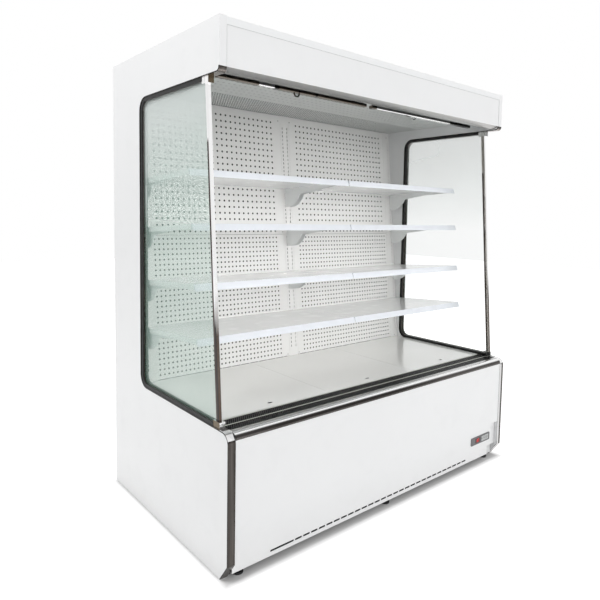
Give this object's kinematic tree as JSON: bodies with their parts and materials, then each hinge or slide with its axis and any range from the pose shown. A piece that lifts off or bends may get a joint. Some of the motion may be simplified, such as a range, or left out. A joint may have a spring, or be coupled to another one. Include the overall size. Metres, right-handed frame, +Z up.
{
  "type": "open multideck display fridge",
  "caption": "Open-fronted multideck display fridge with end glass, hung shelves, a slotted rear duct wall, lift-out deck panels and pull-down night blinds.",
  "frame": {"origin": "centre of the cabinet's footprint, on the floor", "axes": "+X to the customer's right along the width, -Y towards the customer (open front), +Z up"},
  "size_m": [1.8, 1.05, 2.03],
  "materials": {
    "white_outer": "semi-gloss powder coat",
    "white_inner": "satin powder coat",
    "galvanised": "spangled zinc",
    "bright_trim": "polished",
    "satin_aluminium": "satin anodised",
    "black_rubber": "matte",
    "clear_glass": "clear float glass with a green edge",
    "grey_plastic": "satin",
    "white_plastic": "gloss",
    "black_plastic": "fine texture",
    "red_lens": "tinted lens",
    "black_paint": "satin",
    "zinc_steel": "zinc plated",
    "blind_fabric": "metallised woven cloth"
  },
  "bodies": {
    "cabinet": {"side_panel_left": "white_outer", "side_panel_right": "white_outer", "edge_trims": "bright_trim", "corner_caps": "bright_trim", "window_gaskets": "black_rubber", "side_glass": "clear_glass", "glass_edge_strips": "satin_aluminium", "glass_clips": "grey_plastic", "insulated_back": "galvanised", "insulated_tank": "white_inner", "roof_panel": "white_outer", "canopy_fascia": "white_outer", "canopy_lip": "satin_aluminium", "canopy_tray": "white_inner", "ceiling_panel": "white_inner", "upper_back_panels": "white_inner", "lower_back_panels": "white_inner", "uprights": "white_inner", "upright_standoffs": "galvanised", "shelf_level_1": "white_inner", "shelf_level_2": "white_inner", "shelf_level_3": "white_inner", "shelf_level_4": "white_inner", "shelf_brackets": "white_inner", "ticket_rails": "white_plastic", "deck_rails": "galvanised", "return_air_grille": "black_plastic", "nose_bumper": "bright_trim", "front_panel": "white_outer", "kick_panel": "white_outer", "controller_bezel": "black_plastic", "controller_display": "red_lens", "base_frame": "black_paint", "levelling_feet": "zinc_steel", "rear_cover": "galvanised", "mains_gland": "black_plastic", "compressor": "black_paint", "condenser_coil": "satin_aluminium", "condenser_shroud": "galvanised", "condensate_pan": "galvanised", "evaporator_coil": "satin_aluminium", "evaporator_fan_plate": "galvanised", "blind_cassettes": "white_inner", "blind_cloth_left": "blind_fabric", "blind_cloth_right": "blind_fabric"},
    "deck_panel_1": {"deck_panel_1": "white_inner"},
    "deck_panel_2": {"deck_panel_2": "white_inner"},
    "deck_panel_3": {"deck_panel_3": "white_inner"},
    "set_key": {"set_key": "white_plastic"},
    "up_key": {"up_key": "white_plastic"},
    "defrost_key": {"defrost_key": "white_plastic"},
    "down_key": {"down_key": "white_plastic"},
    "condenser_fan": {"condenser_fan": "black_plastic"},
    "evaporator_fan_left": {"evaporator_fan_left": "black_plastic"},
    "blind_roller_left": {"blind_roller_left": "zinc_steel"},
    "pull_bar_left": {"pull_bar_left": "satin_aluminium"},
    "evaporator_fan_right": {"evaporator_fan_right": "black_plastic"},
    "blind_roller_right": {"blind_roller_right": "zinc_steel"},
    "pull_bar_right": {"pull_bar_right": "satin_aluminium"}
  },
  "joints": [
    {"name": "blind_pull_left", "type": "slide", "parent": "cabinet", "child": "pull_bar_left", "axis": [0, -0.1165, -0.9932], "range_m": [0, 1.278], "stiffness_N_per_m": 6, "springref_m": -2, "deforming": ["blind_cloth_left"]},
    {"name": "blind_roll_left", "type": "hinge", "parent": "cabinet", "child": "blind_roller_left", "pos_m": [-0.4185, -0.31, 1.898], "axis": [1, 0, 0], "continuous": true},
    {"name": "evaporator_fan_spin_left", "type": "hinge", "parent": "cabinet", "child": "evaporator_fan_left", "pos_m": [-0.42, 0.07, 0.458], "axis": [0, 1, 0], "continuous": true},
    {"name": "blind_pull_right", "type": "slide", "parent": "cabinet", "child": "pull_bar_right", "axis": [0, -0.1165, -0.9932], "range_m": [0, 1.278], "stiffness_N_per_m": 6, "springref_m": -2, "deforming": ["blind_cloth_right"]},
    {"name": "blind_roll_right", "type": "hinge", "parent": "cabinet", "child": "blind_roller_right", "pos_m": [0.4185, -0.31, 1.898], "axis": [1, 0, 0], "continuous": true},
    {"name": "evaporator_fan_spin_right", "type": "hinge", "parent": "cabinet", "child": "evaporator_fan_right", "pos_m": [0.42, 0.07, 0.458], "axis": [0, 1, 0], "continuous": true},
    {"name": "condenser_fan_spin", "type": "hinge", "parent": "cabinet", "child": "condenser_fan", "pos_m": [-0.3, -0.289, 0.182], "axis": [0, 1, 0], "continuous": true},
    {"name": "set_key_press", "type": "slide", "parent": "cabinet", "child": "set_key", "axis": [0, 1, 0], "range_m": [0, 0.0005], "stiffness_N_per_m": 300, "springref_m": -0.001},
    {"name": "up_key_press", "type": "slide", "parent": "cabinet", "child": "up_key", "axis": [0, 1, 0], "range_m": [0, 0.0005], "stiffness_N_per_m": 300, "springref_m": -0.001},
    {"name": "defrost_key_press", "type": "slide", "parent": "cabinet", "child": "defrost_key", "axis": [0, 1, 0], "range_m": [0, 0.0005], "stiffness_N_per_m": 300, "springref_m": -0.001},
    {"name": "down_key_press", "type": "slide", "parent": "cabinet", "child": "down_key", "axis": [0, 1, 0], "range_m": [0, 0.0005], "stiffness_N_per_m": 300, "springref_m": -0.001},
    {"name": "deck_panel_1_lift", "type": "slide", "parent": "cabinet", "child": "deck_panel_1", "axis": [0, 0, 1], "range_m": [0, 0.12]},
    {"name": "deck_panel_2_lift", "type": "slide", "parent": "cabinet", "child": "deck_panel_2", "axis": [0, 0, 1], "range_m": [0, 0.12]},
    {"name": "deck_panel_3_lift", "type": "slide", "parent": "cabinet", "child": "deck_panel_3", "axis": [0, 0, 1], "range_m": [0, 0.12]}
  ],
  "couplings": [
    {"joint": "blind_roll_left", "follows": "blind_pull_left", "rad_per_m": -50},
    {"joint": "blind_roll_right", "follows": "blind_pull_right", "rad_per_m": -50}
  ]
}
